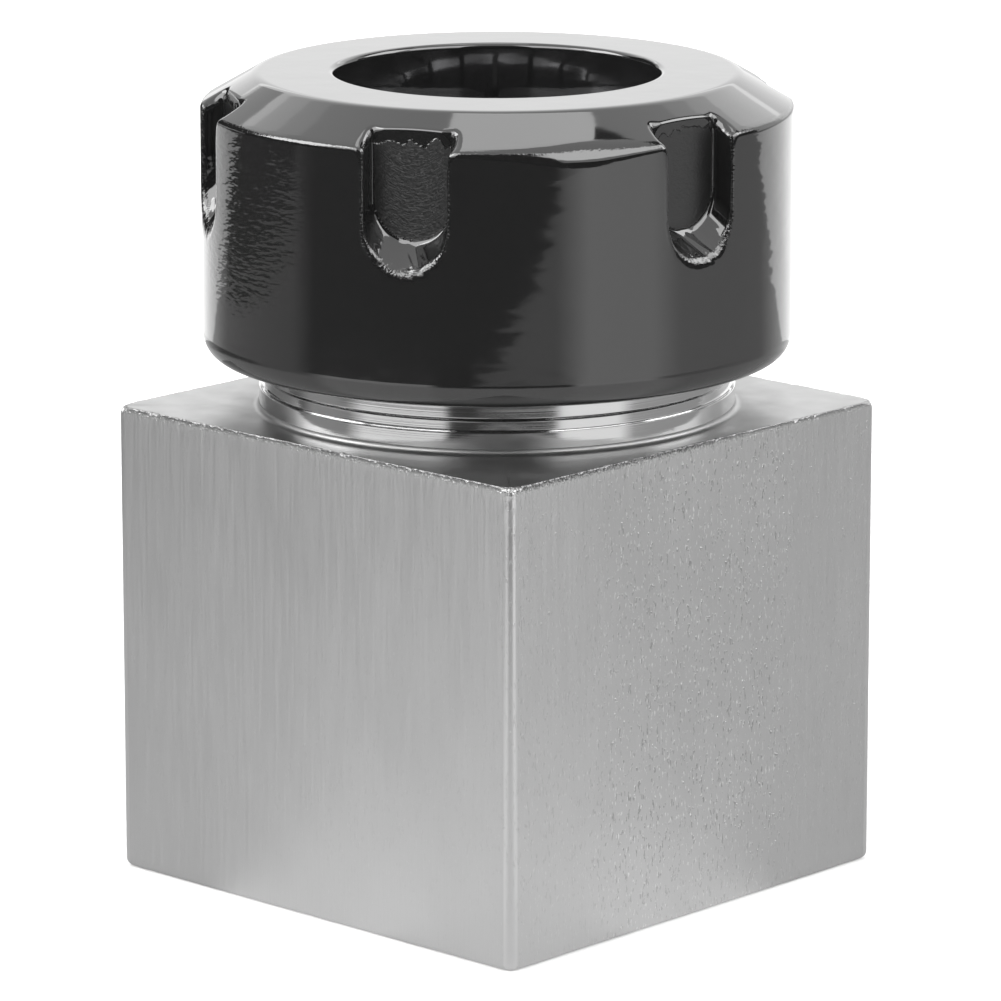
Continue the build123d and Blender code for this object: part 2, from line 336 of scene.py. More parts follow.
def turned_steel(name, roughness, ring_depth, ring_pitch, colour):
    """The same steel off the lathe: mirror bright across the feed marks, streaked round the axis. The marks' depth is
    in metres and their pitch in millimetres."""
    material, tree = new_material(name)
    place = node(tree, "ShaderNodeTexCoord").outputs["Object"]
    mm = node(tree, "ShaderNodeVectorMath", {0: place, "Scale": 1000.0}, operation="SCALE").outputs[0]
    x, y, z = node(tree, "ShaderNodeSeparateXYZ", {0: mm}).outputs
    flat = node(tree, "ShaderNodeCombineXYZ", {0: x, 1: y}).outputs[0]
    radius = node(tree, "ShaderNodeVectorMath", {0: flat}, operation="LENGTH").outputs["Value"]
    # Feed marks: noise of radius and height only, so each mark runs right round.
    across = node(tree, "ShaderNodeCombineXYZ", {0: radius, 1: 0.0, 2: z}).outputs[0]
    across = node(tree, "ShaderNodeVectorMath", {0: across, 1: (ring_pitch,) * 3}, operation="DIVIDE").outputs[0]
    rings = node(tree, "ShaderNodeTexNoise", {"Vector": across, "Scale": 1.0, "Detail": 3.0}).outputs["Fac"]
    # Smears about 3 mm across.
    smears = node(tree, "ShaderNodeTexNoise", {"Vector": mm, "Scale": 0.35, "Detail": 4.0}).outputs["Fac"]
    rough = node(tree, "ShaderNodeMapRange",
                 {0: smears, 1: 0.3, 2: 0.7, 3: roughness * 0.9, 4: roughness * 1.12}).outputs[0]
    bump = node(tree, "ShaderNodeBump", {"Height": rings, "Distance": ring_depth})
    shader = node(tree, "ShaderNodeBsdfPrincipled", {
        "Base Color": linear(colour), "Metallic": 1.0, "Roughness": rough, "Normal": bump.outputs[0]})
    node(tree, "ShaderNodeOutputMaterial", {"Surface": shader.outputs[0]})
    return material


# The top's grey is darker than the same turned steel of the neck: painted shade that tones down the lamps' glare on
# the top face.
turned_top_painted_shade = turned_steel("turned_steel", roughness=0.4, ring_depth=0.000016, ring_pitch=0.8, colour="a0a0a0")
bright_neck = turned_steel("bright_turned_steel", roughness=0.1, ring_depth=0.000006, ring_pitch=0.2, colour="d6d6d6")
body, neck, side_rows = block_rows()
block = piece_from_faces("block_body", np.concatenate([body.reshape(-1, 3), neck.reshape(-1, 3)]),
                         joined_faces(body, neck, neck_step), [ground_steel(), turned_top_painted_shade, bright_neck],
                         "block")

# The sides are ground, nearly to the inner edge of the top rim. The top and the fillet of the neck are turned, and
# the neck, nose and bore are turned bright.
ground, turned, bright = range(3)
rim_rows, fillet_rows = 5, 7
body_finish = np.where(np.arange(len(body) - 1) < side_rows + rim_rows, ground, turned)
neck_finish = np.where(np.arange(len(neck) - 1) < fillet_rows, turned, bright)
finish = np.concatenate([np.repeat(body_finish, body.shape[1]),
                         np.repeat([*neck_finish, turned, bright], neck.shape[1])])
block.data.polygons.foreach_set("material_index", finish.astype(np.int32))
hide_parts("collet_block")


# ------------------------------------------------------------------------------
# The nose thread: a 40 x 1.5 mm ridge cut on the nose, right-handed, running out into the relief below and
# under the end chamfer above.
# ------------------------------------------------------------------------------
thread_pitch = 1.5
thread_pitch_radius = 19.513
thread_crest = 19.97
thread_groove = 19.0
thread_slack = 0.03
crest_softness = 0.04
flank = np.tan(np.radians(30))
run_out = np.radians(25)
steps_per_turn = 120


def helical_ridge(low, high, crest, root, phase, inner):
    """Points of a thread ridge from its lowest to its highest point: a trapezium carried along a right-handed helix,
    its height fading to nothing at both ends. The phase shifts it by a share of the pitch. An inner ridge points at
    the axis, so its section is taken the other way round."""
    turns = (high - low) / thread_pitch
    angle = np.linspace(0, 2 * np.pi * turns, int(steps_per_turn * turns))
    fade = np.clip(np.minimum(angle, angle[-1] - angle) / run_out, 0.02, 1)
    middle = low + (phase + angle / (2 * np.pi)) * thread_pitch
    half_at_pitch = thread_pitch / 4 - thread_slack
    crest_half = half_at_pitch - abs(crest - thread_pitch_radius) * flank
    root_half = half_at_pitch + abs(root - thread_pitch_radius) * flank
    soft = crest_softness
    shoulder = crest + (soft if inner else -soft)
    section = [(root, -root_half), (shoulder, -crest_half - soft * 0.3), (crest, -crest_half + soft),
               (crest, crest_half - soft), (shoulder, crest_half + soft * 0.3), (root, root_half)]
    section = np.array(section if inner else section[::-1])
    radius = root + (section[:, 0] - root) * fade[:, None]
    height = middle[:, None] + section[:, 1] * fade[:, None]
    return np.stack([radius * np.cos(angle)[:, None], radius * np.sin(angle)[:, None], height], -1)


def ridge_faces(steps, sides):
    """Quads along a ridge whose section is closed, and the two faces that cap its ends."""
    quads = ring_quads(steps, sides)[:(steps - 1) * sides].tolist()
    return quads + [list(range(sides))[::-1], [(steps - 1) * sides + i for i in range(sides)]]


nose_ridge = helical_ridge(45.9, 51.9, crest=thread_crest, root=thread_groove, phase=0.0, inner=False)
end_cone = nose_end_radius + nose_top - nose_ridge[..., 2]
reach = np.linalg.norm(nose_ridge[..., :2], axis=-1)
nose_ridge[..., :2] *= (np.minimum(reach, np.maximum(end_cone, thread_groove)) / reach)[..., None]
piece_from_faces("nose_thread", nose_ridge, ridge_faces(*nose_ridge.shape[:2]), [bright_neck], "block")


# ------------------------------------------------------------------------------
# The spring collet: hardened spring steel, ground inside and out, with a 30 degree front cone, a snap-in
# groove and an 8 degree body, slit from the front and from the tail in turn so that it closes evenly.
# ------------------------------------------------------------------------------
collet_face = 63.6
collet_tail = 23.6
collet_radius = 16.432
collet_shoulder = 56.4
groove_radius = 14.13
shank_radius = 8.0
end_face_middle = 9.0
slit_half = 0.5
slit_count = 16
front_slit_floor = collet_tail + 5.0
rear_slit_top = collet_face - 9.5
slit_rows = (28.2, 28.6, 29.0, 53.7, 54.1, 54.5)


def collet_profile():
    """Closed profile of the collet, up its 8 degree outside, over the groove and the cone and down the bore, with a
    point at both slit ends, and one on either side of each, outside and in the bore."""
    outside = turned_path([
        (end_face_middle, collet_tail, 0), (11.22, collet_tail, 0.06), (11.9, 24.2, 0.08),
        *[(collet_radius - (collet_shoulder - z) * np.tan(np.radians(8)), z, 0) for z in slit_rows],
        (collet_radius, collet_shoulder, 0.15), (16.03, 57.1, 0.06), (groove_radius, 57.1, 0.15),
        (groove_radius, 59.7, 0.15), (15.53, 59.7, 0.06), (15.53, 60.0, 0.1), (13.45, collet_face, 0.08),
        (end_face_middle, collet_face, 0)], steps=3)
    inside = turned_path([
        (end_face_middle, collet_face, 0), (8.5, collet_face, 0.05), (shank_radius, 63.1, 0.08),
        *[(shank_radius, z, 0) for z in slit_rows[::-1]], (shank_radius, 24.1, 0.08), (8.5, collet_tail, 0.05),
        (end_face_middle, collet_tail, 0)], steps=3)
    return np.concatenate([outside, inside[1:-1]])


def collet_mesh(steps=7):
    """Points and faces of the slit collet. Columns keep half a slit's width away from each slit at every radius, the
    strip of quads over a slit is left out where the slit is open, and flat walls and an end close it."""
    path = collet_profile()
    radius, height = path[:, 0][:, None, None], path[:, 1][:, None, None]
    sector = np.arange(slit_count)[None, :, None] * 2 * np.pi / slit_count
    share = np.linspace(0, 1, steps + 1)[None, None, :]
    margin = np.arcsin(slit_half / radius)
    angle = sector + margin + share * (2 * np.pi / slit_count - 2 * margin)
    points = np.stack([radius * np.cos(angle), radius * np.sin(angle), height + 0 * angle], -1)
    rows, columns = len(path), slit_count * (steps + 1)
    quads = ring_quads(rows, columns)
    row, column = quads[:, 0] // columns, quads[:, 0] % columns
    middle_z = (path[row, 1] + path[(row + 1) % rows, 1]) / 2
    gap = column % (steps + 1) == steps
    slit = (column // (steps + 1) + 1) % slit_count
    open_here = np.where(slit % 2 == 0, middle_z > front_slit_floor, middle_z < rear_slit_top)
    faces = quads[~(gap & open_here)].tolist()
    for number in range(slit_count):
        before = ((number - 1) % slit_count) * (steps + 1) + steps
        after = number * (steps + 1)
        front = number % 2 == 0
        end_z = front_slit_floor if front else rear_slit_top
        outer, inner = [int(i) for i in np.flatnonzero(np.abs(path[:, 1] - end_z) < 1e-6)]
        if front:
            loop = list(range(outer, inner + 1))
        else:
            loop = list(range(inner, rows)) + list(range(0, outer + 1))
        faces.append([i * columns + before for i in loop][::-1])
        faces.append([i * columns + after for i in loop])
        end = [outer * columns + before, outer * columns + after, inner * columns + after, inner * columns + before]
        faces.append(end if front else end[::-1])
    return points, faces


collet_points, collet_faces = collet_mesh()
collet_steel = turned_steel("ground_collet_steel", roughness=0.24, ring_depth=0.000002, ring_pitch=0.1,
                            colour="b4b4b6")
collet = piece_from_faces("spring_collet_body", collet_points, collet_faces, [collet_steel], "collet")
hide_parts("spring_collet")


# ------------------------------------------------------------------------------
# The clamping nut: one piece of steel under a glossy black finish, bevelled in front, with six spanner slots
# milled into its side. The finish is thick enough to roll over the edges and lies over rough turned steel.
# ------------------------------------------------------------------------------
nut_radius = 24.65
nut_face = 68.25
nut_foot = 44.76
nut_foot_rise = 1.9
nut_foot_reach = 1.3
nut_rim = 65.6
bevel_slope = np.tan(np.radians(30))
face_radius = nut_radius - (nut_face - nut_rim) / bevel_slope
mouth_radius = 13.533
cone_radius = 15.932
collar_radius = 17.132
ring_foot = 57.7
ring_top = 59.3
ring_offset = 0.8
nut_thread_groove = 20.03
nut_foot_radius = 20.35
spanner_slots = 6
slot_turn = np.radians(-4.6)
slot_reach = 3.5
slot_back = nut_radius - 2.45
slot_arc_z = 61.25
slot_run_out = 58.0
slot_ramp = np.tan(np.radians(42))
slot_fillet = 0.28
rim_roll = 0.3
lip_roll = 0.16
bead_roll = 0.8
bead_middle = np.radians(-31)
bead_spread = 0.22
slot_columns = 40
plain_columns = 20
bore_step = 3


def nut_profile():
    """Profile of the nut in three runs: out along the foot and up the side; the slotted height, with its rows close
    together; and in over the face to the mouth. The bore follows in two runs, from the mouth to the extraction ring
    and from the ring to the foot, each without the row that it shares with the ring."""
    turn = np.radians(np.linspace(0, 90, 10))
    foot = np.stack([nut_radius - nut_foot_reach * (1 - np.sin(turn)),
                     nut_foot + nut_foot_rise * (1 - np.cos(turn))], 1)
    plain = np.concatenate([[(20.6, nut_foot), (21.5, nut_foot), (nut_radius - nut_foot_reach - 0.1, nut_foot)], foot,
                            [(nut_radius, nut_foot + nut_foot_rise + 0.1), (nut_radius, 50.0), (nut_radius, 54.6)]])
    heights = np.concatenate([np.arange(54.9, 61.5, 0.145), np.arange(61.7, 64.5, 0.4), np.arange(64.65, 66.5, 0.145),
                              np.arange(66.56, 67.2, 0.075)])
    slotted = np.stack([nut_radius - np.clip(heights - nut_rim, 0, None) / bevel_slope, heights], 1)
    start = nut_radius - (67.3 - nut_rim) / bevel_slope
    face = turned_path([(start, 67.3, 0), (face_radius, nut_face, 1.5), (mouth_radius, nut_face, 0.5),
                        (mouth_radius, 67.2, 0)], steps=6)
    bore = turned_path([(mouth_radius, 66.9, 0), (mouth_radius, 63.6, 0.08), (cone_radius, 59.446, 0.08),
                        (cone_radius, ring_top, 0)])
    thread = turned_path([
        (collar_radius, ring_foot, 0), (collar_radius, 56.4, 0.08), (nut_thread_groove, 56.4, 0.08),
        (nut_thread_groove, 47.72, 0.05), (nut_foot_radius, 47.4, 0.08), (nut_foot_radius, nut_foot, 0.12),
        (20.55, nut_foot, 0)])
    return plain, slotted, face, bore[:-1], thread[1:]


def rolled(a, b, radius):
    """Height above the corner of two surfaces, from the heights above each of them: where both are near, the root of
    the sum of their squares, which rolls the corner over to the radius."""
    both = np.hypot(np.maximum(a + radius, 0), np.maximum(b + radius, 0))
    return np.minimum(np.maximum(a, b), -radius) + both


def height_above(x, y, z, number):
    """Height of a point above the nut's metal, seen square on to slot number. The turned surface is the side and the
    bevel, rolled over at the rim and most of all at one bead of the finish. The cutter is a flat back wall met by a
    round-ended wall that leans out and down as a ramp and runs out unevenly. The metal is what the cutter leaves,
    its lip rolled over ever wider beside the slot and towards the rim."""
    along = z + 1.3 * y + 5.7 * number
    wander = np.sin(2.3 * along + 1.5 * np.sin(1.1 * along)) + 0.5 * np.sin(8.3 * along + 2 * np.sin(3.1 * along))
    side = np.hypot(x, y) - nut_radius
    bevel = (z - nut_rim + side * bevel_slope) / np.hypot(1, bevel_slope)
    around = slot_turn + number * 2 * np.pi / spanner_slots + np.arctan2(y, x) - bead_middle
    bead = np.exp(-(np.angle(np.exp(1j * around)) / bead_spread) ** 2)
    turned = rolled(side, bevel, rim_roll + bead_roll * bead)
    below = np.minimum(z - slot_arc_z + (x - slot_back) * slot_ramp, 0)
    reach = np.maximum(np.hypot(y, below), 1e-6)
    lean = np.maximum(np.hypot(y, below * np.hypot(1, slot_ramp)) / reach, 1)
    low = np.clip((slot_run_out - z) / 1.5, 0, 1)
    wall = (reach - slot_reach) / lean + wander * (0.012 + 0.03 * low)
    cutter = rolled(slot_back - x, wall, slot_fillet)
    beside = np.clip((np.abs(y) - 2.4) / 0.9, 0, 1)
    widening = 0.08 + 0.02 * (z - slot_run_out).clip(0, 7) + 0.6 * np.exp(-((z - 65.9) / 0.9) ** 2)
    return rolled(turned, -cutter, lip_roll + 0.3 * low + beside * widening)


def settled(x, y, z, number, passes=12, step=1e-4):
    """Moves points down or up the slope of their height above the metal until they lie on its surface."""
    for _ in range(passes):
        slope = [(height_above(x + dx, y + dy, z + dz, number) - height_above(x - dx, y - dy, z - dz, number))
                 / (2 * step) for dx, dy, dz in step * np.eye(3)]
        move = np.clip(height_above(x, y, z, number) / sum(part ** 2 for part in slope), -0.2, 0.2)
        x, y, z = (place - move * part for place, part in zip((x, y, z), slope))
    return x, y, z


def slotted_rows(path):
    """Level rows over one sixth of the nut, square on to its slot. A row goes across the slot's floor, out along its
    side wall and on round the nut; its points are evenly spaced as far as the lip and ever wider past it."""
    r, z = path[:, 0][:, None], path[:, 1][:, None]
    y_floor = slot_reach * np.sin(np.radians(np.linspace(0, 90, 90)))[None]
    arc = slot_arc_z - np.sqrt(slot_reach ** 2 - y_floor ** 2)
    floor = slot_back + np.clip(arc - z, 0, None) / slot_ramp
    x_floor = np.minimum(floor, np.sqrt(r ** 2 - y_floor ** 2))
    share = np.linspace(0, 1, 30)[None, 1:]
    x_wall = x_floor[:, -1:] + (np.sqrt(r ** 2 - slot_reach ** 2) - x_floor[:, -1:]) * share
    edge, clear = np.arcsin(slot_reach / r), np.arcsin((slot_reach + 1.1) / r)
    around = edge + (clear - edge) * share
    x = np.concatenate([x_floor, x_wall, r * np.cos(around)], 1)
    y = np.concatenate([y_floor + 0 * z, slot_reach + 0 * x_wall, r * np.sin(around)], 1)
    length = np.concatenate([0 * z, np.cumsum(np.hypot(np.diff(x), np.diff(y)), 1)], 1)
    even = length[:, -1:] * np.linspace(0, 1, slot_columns + 1)
    x, y = (np.stack([np.interp(*row) for row in zip(even, length, places)]) for places in (x, y))
    beyond = clear + (np.pi / spanner_slots - clear) * np.linspace(0, 1, plain_columns + 1)[None, 1:] ** 1.3
    x = np.concatenate([x, r * np.cos(beyond)], 1)
    y = np.concatenate([y, r * np.sin(beyond)], 1)
    return np.concatenate([x[:, -2:0:-1], x], 1), np.concatenate([-y[:, -2:0:-1], y], 1)


def nut_points():
    """All points of the nut: six turned copies of one sixth side by side for its outside, then its bore with every
    third column. The extraction ring's bore is a circle set off the axis, so its row is written as the distance from
    the axis to that circle. Also gives each outside point's place square on to its slot."""
    plain, slotted, face, bore, thread = nut_profile()
    path = np.concatenate([plain, slotted, face])
    number = np.arange(spanner_slots)[None, :, None]
    x, y = (np.repeat(places[:, None], spanner_slots, 1) for places in slotted_rows(path))
    z = path[:, 1][:, None, None] + 0 * x
    cut = slice(len(plain), len(plain) + len(slotted))
    x[cut], y[cut], z[cut] = settled(x[cut], y[cut], z[cut], number)
    turn = slot_turn + number * 2 * np.pi / spanner_slots
    outside = np.stack([x * np.cos(turn) - y * np.sin(turn), x * np.sin(turn) + y * np.cos(turn), z], -1)
    outside = outside.reshape(len(path), -1, 3)
    around = np.arctan2(outside[-1, ::bore_step, 1], outside[-1, ::bore_step, 0])
    off_axis = ring_offset * np.cos(around) + np.sqrt(cone_radius ** 2 - (ring_offset * np.sin(around)) ** 2)
    ring = []
    for radius, height in ((cone_radius, ring_top), (off_axis, ring_top), (off_axis, ring_foot),
                           (collar_radius, ring_foot)):
        radius = np.broadcast_to(radius, around.shape)
        ring.append(np.stack([radius * np.cos(around), radius * np.sin(around), np.full_like(around, height)], -1))
    inside = np.concatenate([revolve_rows(bore, around), np.array(ring), revolve_rows(thread, around)])
    square_on = np.stack([x, y, z], -1).reshape(outside.shape)
    return outside, inside, square_on


worn_spot = (-7.2, -23.0, 59.0)
run_spot = (24.0, 5.5, 58.0)
rough_slot = (9.5, -20.0, 61.5)


def blackened_steel():
    """Steel under a thick glossy black finish: near black face on, mirror bright at a shallow angle. Turning marks
    print through it in patches, and the slots' back walls keep the crescents of the end mill."""
    material, tree = new_material("glossy_black_finish")
    place = node(tree, "ShaderNodeTexCoord").outputs["Object"]
    mm = node(tree, "ShaderNodeVectorMath", {0: place, "Scale": 1000.0}, operation="SCALE").outputs[0]
    z = node(tree, "ShaderNodeSeparateXYZ", {0: mm}).outputs["Z"]
    slot_map = node(tree, "ShaderNodeUVMap", uv_map="slots").outputs[0]
    slot_floor, worn_edge = (node(tree, "ShaderNodeAttribute", attribute_name=name).outputs["Fac"]
                             for name in ("slot_floor", "worn_edge"))

    # Waves in the finish, 5 mm round the nut and 2.6 mm up it, bend the edges of reflections. Turning marks 0.4 mm
    # apart climb a little. The V of the slot map grows along the path of the end mill, whose crescents are 0.15 mm
    # apart. Worn patches are 8 mm across, the steps in the edge of a pool 1.4 mm, and grit and beads 0.2 mm.
    wave_at = node(tree, "ShaderNodeVectorMath", {0: mm, 1: (5.0, 5.0, 2.6)}, operation="DIVIDE").outputs[0]
    mark_at = node(tree, "ShaderNodeMapping", {"Vector": mm, "Rotation": (0.3, 0.1, 0.0),
                                               "Scale": (1.0, 1.0, 2.7)}).outputs[0]
    mill_at = node(tree, "ShaderNodeVectorMath", {0: slot_map, 1: (0.05, 0.015, 1.0)}, operation="DIVIDE").outputs[0]
    patterns = []
    for at, scale, detail in ((wave_at, 1.0, 2.0), (mark_at, 1.0, 1.0), (mm, 0.12, 1.0), (mm, 0.7, 2.0),
                              (mill_at, 1.0, 1.0), (mm, 4.0, 1.0), (mm, 4.5, 1.0)):
        noise = node(tree, "ShaderNodeTexNoise", {"Vector": at, "Scale": scale, "Detail": detail})
        patterns.append(noise.outputs["Fac"])
    waves, marks, patch, pool, mill, grit, beads = patterns

    # Each share runs between two values as its input, a distance or height in mm, runs between two others. The waves
    # stand higher where the finish has run, the marks show in one worn patch and faintly in a band below the rim, and
    # the finish has pooled smooth along the top of each slot, with a wandering lower edge.
    from_run, from_worn, from_rough = (
        node(tree, "ShaderNodeVectorMath", {0: mm, 1: spot}, operation="DISTANCE").outputs["Value"]
        for spot in (run_spot, worn_spot, rough_slot))
    pool_edge = node(tree, "ShaderNodeMath", {0: pool, 1: 3.0, 2: z}, operation="MULTIPLY_ADD").outputs[0]
    share = {}
    for name, value, start, end, first, last, curve in (
            ("run", from_run, 10.0, 5.0, 1.0, 2.8, "SMOOTHSTEP"),
            ("worn", from_worn, 10.5, 7.5, 0.0, 1.0, "SMOOTHSTEP"),
            ("band", z, 61.5, 65.0, 0.0, 0.3, "LINEAR"),
            ("below rim", z, 65.4, 65.7, 1.0, 0.0, "LINEAR"),
            ("below pool", pool_edge, 67.3, 67.5, 1.0, 0.0, "LINEAR"),
            ("rough", from_rough, 10.0, 7.0, 0.4, 1.0, "LINEAR")):
        share[name] = node(tree, "ShaderNodeMapRange", {0: value, 1: start, 2: end, 3: first, 4: last},
                           interpolation_type=curve).outputs[0]
    band = node(tree, "ShaderNodeMath", {0: share["band"], 1: patch}, operation="MULTIPLY").outputs[0]
    worn = node(tree, "ShaderNodeMath", {0: share["worn"], 1: band}, operation="MAXIMUM").outputs[0]
    in_slot = node(tree, "ShaderNodeMath", {0: slot_floor, 1: share["below pool"]}, operation="MULTIPLY").outputs[0]
    rough = node(tree, "ShaderNodeMapRange", {0: in_slot, 3: 0.06, 4: 0.3}).outputs[0]

    # One relief on another, each with its depth in metres: waves, turning marks, the slots' crescents with their grit,
    # and beads along the edges.
    mill = node(tree, "ShaderNodeMath", {0: mill, 1: grit}, operation="ADD").outputs[0]
    coarse = node(tree, "ShaderNodeMath", {0: share["rough"], 1: in_slot}, operation="MULTIPLY").outputs[0]
    normal = {}
    for height, factors, depth in ((waves, [share["run"]], 0.000018), (marks, [worn, share["below rim"]], 0.00002),
                                   (mill, [coarse], 0.000042), (beads, [worn_edge], 0.00006)):
        for factor in factors:
            height = node(tree, "ShaderNodeMath", {0: height, 1: factor}, operation="MULTIPLY").outputs[0]
        bump = node(tree, "ShaderNodeBump", {"Height": height, "Distance": depth, **normal})
        normal = {"Normal": bump.outputs[0]}
    shader = node(tree, "ShaderNodeBsdfPrincipled", {
        "Base Color": linear("1c1c1c"), "Metallic": 0.0, "Roughness": rough, "IOR": 1.9, **normal})
    node(tree, "ShaderNodeOutputMaterial", {"Surface": shader.outputs[0]})
    return material


outside, inside, square_on = nut_points()
black_finish = blackened_steel()
nut = piece_from_faces("clamping_nut_body", np.concatenate([outside.reshape(-1, 3), inside.reshape(-1, 3)]),
                       joined_faces(outside, inside, bore_step), [black_finish], "nut", sharp=50.0)
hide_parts("clamping_nut")

# Slot map: U across the slot and V along the mill's path, in centimetres. Point by point also which points are a
# slot's back wall, and how near the rim or a slot's lip each one is.
x, y, z = square_on.reshape(-1, 3).T
spare = np.zeros(inside.shape[0] * inside.shape[1])
along = z + np.sqrt(np.clip(slot_reach ** 2 - y ** 2, 0, None))
on_back = (np.abs(x - slot_back) < 0.02) & (np.abs(y) < slot_reach) & (z > 57.0) & (z < 67.0)
below = np.minimum(z - slot_arc_z + (x - slot_back) * slot_ramp, 0)
lip = np.exp(-((np.hypot(y, below) - slot_reach - 0.1) / 0.22) ** 2) * (np.hypot(x, y) > 24.2) * (z < nut_rim)
rim = np.exp(-((z - nut_rim) / 0.12) ** 2) * (np.abs(y) > slot_reach) * 0.6
for name, values in (("slot_floor", on_back), ("worn_edge", np.maximum(lip, rim))):
    attribute = nut.data.attributes.new(name, "FLOAT", "POINT")
    attribute.data.foreach_set("value", np.concatenate([values, spare]).astype(np.float32))
loop_vertex = np.zeros(len(nut.data.loops), np.int32)
nut.data.loops.foreach_get("vertex_index", loop_vertex)
layer = nut.data.uv_layers.new(name="slots")
uv = np.stack([np.concatenate([y, spare]), np.concatenate([along, spare])], -1)[loop_vertex] * 0.1
layer.data.foreach_set("uv", uv.astype(np.float32).ravel())

# The nut's own thread, half a pitch out of step with the nose thread that it turns on.
nut_ridge = helical_ridge(47.9, 55.6, crest=19.2, root=20.08, phase=0.5, inner=True)
piece_from_faces("nut_thread", nut_ridge, ridge_faces(*nut_ridge.shape[:2]), [black_finish], "nut")


# ------------------------------------------------------------------------------
# The studio: a pale floor, a white surround, large soft lamps, and the camera at the photograph's angle. Sizes are
# in metres here, the sensor's in millimetres and the focal length in widths of the picture.
# ------------------------------------------------------------------------------
camera_azimuth = np.radians(43.01)
camera_elevation = np.radians(13.35)
camera_distance = 0.5508
camera_aside = 0.00028
camera_above = 0.03069
focal_length = 6456 / 1001
sensor_width = 36.0
lamp_distance = 0.9
target_height = 0.045
bench_height = 0.001
floor_half = 2
floor_drop = 0.00005
right = np.array([np.cos(camera_azimuth), np.sin(camera_azimuth), 0.0])
back = np.array([np.sin(camera_azimuth) * np.cos(camera_elevation),
                 -np.cos(camera_azimuth) * np.cos(camera_elevation), np.sin(camera_elevation)])
up = np.cross(back, right)


def floor_material():
    """White paper: lit by the lamps so that it keeps the shadow, lifted to white where the camera sees it. Metal sees
    a painted reflection in it instead, a bench that glows only on glossy rays: dark in front, grey to the sides,
    bright behind and on the right of the lens."""
    material, tree = new_material("white_paper_painted_reflection")
    path = node(tree, "ShaderNodeLightPath")
    place = node(tree, "ShaderNodeTexCoord").outputs["Object"]
    ahead = (float(np.sin(camera_azimuth)), float(-np.cos(camera_azimuth)), 0.0)
    front, side = (node(tree, "ShaderNodeVectorMath", {0: place, 1: direction}, operation="DOT_PRODUCT")
                   .outputs["Value"] for direction in (ahead, right.tolist()))
    turn = node(tree, "ShaderNodeMath", {0: side, 1: front}, operation="ARCTAN2").outputs[0]
    share = node(tree, "ShaderNodeMapRange", {0: turn, 1: -np.pi, 2: np.pi}).outputs[0]

    # Grey levels of the painted reflection by azimuth, in degrees to the right of the lens: on the near part of the
    # bench, on its far part, in a ring round the object and under it.
    rings = []
    for levels in (
            [(-180, 1.0), (-150, 1.0), (-125, 0.36), (-82, 0.30), (-72, 0.05), (-10, 0.05), (-8, 0.41), (22, 0.41),
             (34, 1.0), (60, 0.95), (72, 0.55), (119, 0.35), (148, 1.0), (180, 1.0)],
            [(-180, 1.0), (-150, 1.0), (-128, 0.36), (-122, 0.06), (-82, 0.06), (-80, 0.16), (-72, 0.05),
             (22, 0.05), (34, 1.0), (60, 0.95), (72, 0.55), (119, 0.35), (148, 1.0), (180, 1.0)],
            [(-180, 1.0), (-150, 0.6), (-130, 0.12), (-106, 0.12), (-98, 0.3), (-74, 0.3), (-64, 1.0), (-25, 1.0),
             (-21, 0.05), (26, 0.05), (30, 1.0), (58, 1.0), (66, 0.36), (119, 0.36), (148, 1.0), (180, 1.0)],
            [(-180, 1.0), (-125, 0.5), (-72, 0.5), (-64, 0.75), (-25, 0.75), (-21, 0.65), (26, 0.65), (30, 0.75),
             (62, 0.75), (75, 0.5), (125, 0.5), (180, 1.0)]):
        ramp = node(tree, "ShaderNodeValToRGB", {0: share})
        elements = ramp.color_ramp.elements
        while len(elements) < len(levels):
            elements.new(0.5)
        for element, (azimuth, level) in zip(elements, levels):
            element.position = (azimuth + 180) / 360
            element.color = (level, level, level, 1.0)
        rings.append(ramp.outputs[0])
    near, far, inner, under = rings

    # The far part lies beyond two straight edges, each given by its normal, its distance from the axis and its width.
    edges = []
    for front_share, side_share, start, soft in ((0.89, -0.46, 0.2245, 0.001), (-0.532, -0.847, 0.269, 0.003)):
        reach = node(tree, "ShaderNodeMath", {0: front, 1: front_share}, operation="MULTIPLY").outputs[0]
        reach = node(tree, "ShaderNodeMath", {0: side, 1: side_share, 2: reach}, operation="MULTIPLY_ADD").outputs[0]
        edges.append(node(tree, "ShaderNodeMapRange", {0: reach, 1: start, 2: start + soft}).outputs[0])
    away = node(tree, "ShaderNodeMath", {0: edges[0], 1: edges[1]}, operation="MAXIMUM").outputs[0]
    painted_reflection_glow = node(tree, "ShaderNodeMix", {0: away, 6: near, 7: far}, data_type="RGBA").outputs[2]
    reach = node(tree, "ShaderNodeVectorMath", {0: place}, operation="LENGTH").outputs["Value"]
    for nearer, edge, soft in ((inner, 0.225, 0.004), (under, 0.15, 0.02)):
        beyond = node(tree, "ShaderNodeMapRange", {0: reach, 1: edge, 2: edge + soft}).outputs[0]
        painted_reflection_glow = node(tree, "ShaderNodeMix", {0: beyond, 6: nearer, 7: painted_reflection_glow}, data_type="RGBA").outputs[2]
    lift = node(tree, "ShaderNodeMapRange", {0: reach, 1: 0.04, 2: 0.5, 3: 0.08, 4: 1.0}).outputs[0]
    lift = node(tree, "ShaderNodeMath", {0: path.outputs["Is Camera Ray"], 1: lift}, operation="MULTIPLY").outputs[0]
    paper = node(tree, "ShaderNodeBsdfPrincipled", {
        "Base Color": linear("f2f2f2"), "Roughness": 0.8, "Emission Color": (1.0, 1.0, 1.0, 1.0),
        "Emission Strength": lift})
    glow = node(tree, "ShaderNodeEmission", {"Color": painted_reflection_glow, "Strength": 1.0})
    both = node(tree, "ShaderNodeMixShader", {0: path.outputs["Is Glossy Ray"], 1: paper.outputs[0],
                                              2: glow.outputs[0]})
    node(tree, "ShaderNodeOutputMaterial", {"Surface": both.outputs[0]})
    return material


